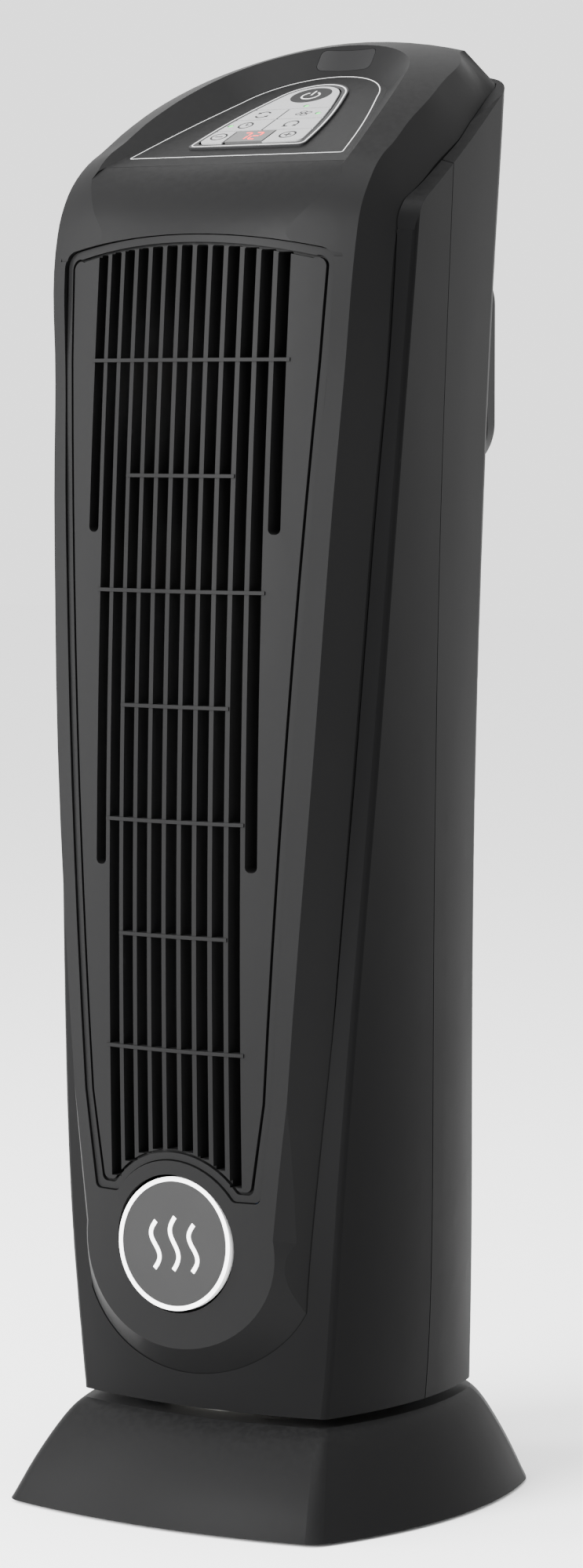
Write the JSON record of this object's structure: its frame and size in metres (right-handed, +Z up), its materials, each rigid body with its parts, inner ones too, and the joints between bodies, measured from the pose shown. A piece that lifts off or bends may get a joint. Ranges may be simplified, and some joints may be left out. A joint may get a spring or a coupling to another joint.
{
  "type": "oscillating tower heater",
  "caption": "Upright fan heater on a flared base that swings side to side, with a tapered slotted outlet in front, a sloping key panel on top and a domed intake behind.",
  "frame": {"origin": "centre of the base's footprint, on the surface it stands on", "axes": "+Z up, the outlet faces -Y, +X to the right seen from the front"},
  "size_m": [0.1852, 0.1838, 0.5865],
  "materials": {
    "housing_plastic": "satin",
    "fascia_plastic": "satin",
    "grille_plastic": "satin",
    "base_plastic": "satin",
    "badge_black": "gloss",
    "badge_white": "gloss",
    "overlay_film": "satin",
    "key_film": "satin",
    "power_key_film": "satin",
    "display_film": "gloss",
    "lamp_green": "gloss",
    "smoked_window": "gloss",
    "circuit_board": "satin",
    "component_plastic": "matte",
    "steel": "brushed",
    "screw_steel": "satin",
    "fin_aluminium": "matte",
    "mica_board": "matte",
    "duct_plastic": "matte",
    "bush_bronze": "satin",
    "filter_foam": "matte",
    "gland_rubber": "matte",
    "foot_rubber": "matte",
    "bearing_nylon": "satin",
    "gear_nylon": "satin"
  },
  "bodies": {
    "base": {"base_cover": "base_plastic", "base_plate": "base_plastic", "base_screws": "screw_steel", "rubber_feet": "foot_rubber", "slide_washer": "bearing_nylon", "gear_post": "base_plastic", "sector_gear": "gear_nylon"},
    "tower": {"front_housing": "housing_plastic", "rear_housing": "housing_plastic", "front_cover": "fascia_plastic", "receiver_window": "smoked_window", "panel_overlay": "overlay_film", "outlet_grille": "grille_plastic", "badge_disc": "badge_black", "badge_ring": "badge_white", "display_window": "display_film", "display_module": "component_plastic", "indicator_lamps": "lamp_green", "key_switches": "component_plastic", "control_board": "circuit_board", "blower_motor": "steel", "front_bearing": "bush_bronze", "rear_bearing": "bush_bronze", "blower_scroll": "duct_plastic", "air_duct": "duct_plastic", "heater_frame": "mica_board", "heater_core": "fin_aluminium", "thermal_cutoff": "steel", "intake_grille": "grille_plastic", "intake_filter": "filter_foam", "power_board": "circuit_board", "relays": "component_plastic", "cord_gland": "gland_rubber", "swing_hub": "bearing_nylon", "hub_retainer": "bearing_nylon", "swing_motor": "steel", "motor_bracket": "steel", "housing_screws": "screw_steel"},
    "pinion": {"swing_pinion": "gear_nylon"},
    "blower": {"blower_wheel": "duct_plastic", "motor_shaft": "steel"},
    "power_key_body": {"power_key": "power_key_film"},
    "mode_key_body": {"mode_key": "key_film"},
    "fan_key_body": {"fan_key": "key_film"},
    "timer_key_body": {"timer_key": "key_film"},
    "swing_key_body": {"swing_key": "key_film"},
    "minus_key_body": {"minus_key": "key_film"},
    "plus_key_body": {"plus_key": "key_film"}
  },
  "joints": [
    {"name": "tower_swing", "type": "hinge", "parent": "base", "child": "tower", "pos_m": [0, 0.004, 0.041], "axis": [0, 0, 1], "range_deg": [-30, 30]},
    {"name": "pinion_spin", "type": "hinge", "parent": "tower", "child": "pinion", "pos_m": [0, -0.032, 0.052], "axis": [0, 0, 1], "range_deg": [-150, 150]},
    {"name": "blower_spin", "type": "hinge", "parent": "tower", "child": "blower", "pos_m": [0, 0.03, 0.449], "axis": [0, 1, 0], "continuous": true},
    {"name": "power_key_press", "type": "slide", "parent": "tower", "child": "power_key_body", "axis": [0, 0.4147, -0.91], "range_m": [0, 0.0004], "stiffness_N_per_m": 600, "springref_m": -0.0004},
    {"name": "mode_key_press", "type": "slide", "parent": "tower", "child": "mode_key_body", "axis": [0, 0.4147, -0.91], "range_m": [0, 0.0004], "stiffness_N_per_m": 600, "springref_m": -0.0004},
    {"name": "fan_key_press", "type": "slide", "parent": "tower", "child": "fan_key_body", "axis": [0, 0.4147, -0.91], "range_m": [0, 0.0004], "stiffness_N_per_m": 600, "springref_m": -0.0004},
    {"name": "timer_key_press", "type": "slide", "parent": "tower", "child": "timer_key_body", "axis": [0, 0.4147, -0.91], "range_m": [0, 0.0004], "stiffness_N_per_m": 600, "springref_m": -0.0004},
    {"name": "swing_key_press", "type": "slide", "parent": "tower", "child": "swing_key_body", "axis": [0, 0.4147, -0.91], "range_m": [0, 0.0004], "stiffness_N_per_m": 600, "springref_m": -0.0004},
    {"name": "minus_key_press", "type": "slide", "parent": "tower", "child": "minus_key_body", "axis": [0, 0.4147, -0.91], "range_m": [0, 0.0004], "stiffness_N_per_m": 600, "springref_m": -0.0004},
    {"name": "plus_key_press", "type": "slide", "parent": "tower", "child": "plus_key_body", "axis": [0, 0.4147, -0.91], "range_m": [0, 0.0004], "stiffness_N_per_m": 600, "springref_m": -0.0004}
  ],
  "couplings": [
    {"joint": "pinion_spin", "follows": "tower_swing", "ratio": 5}
  ]
}
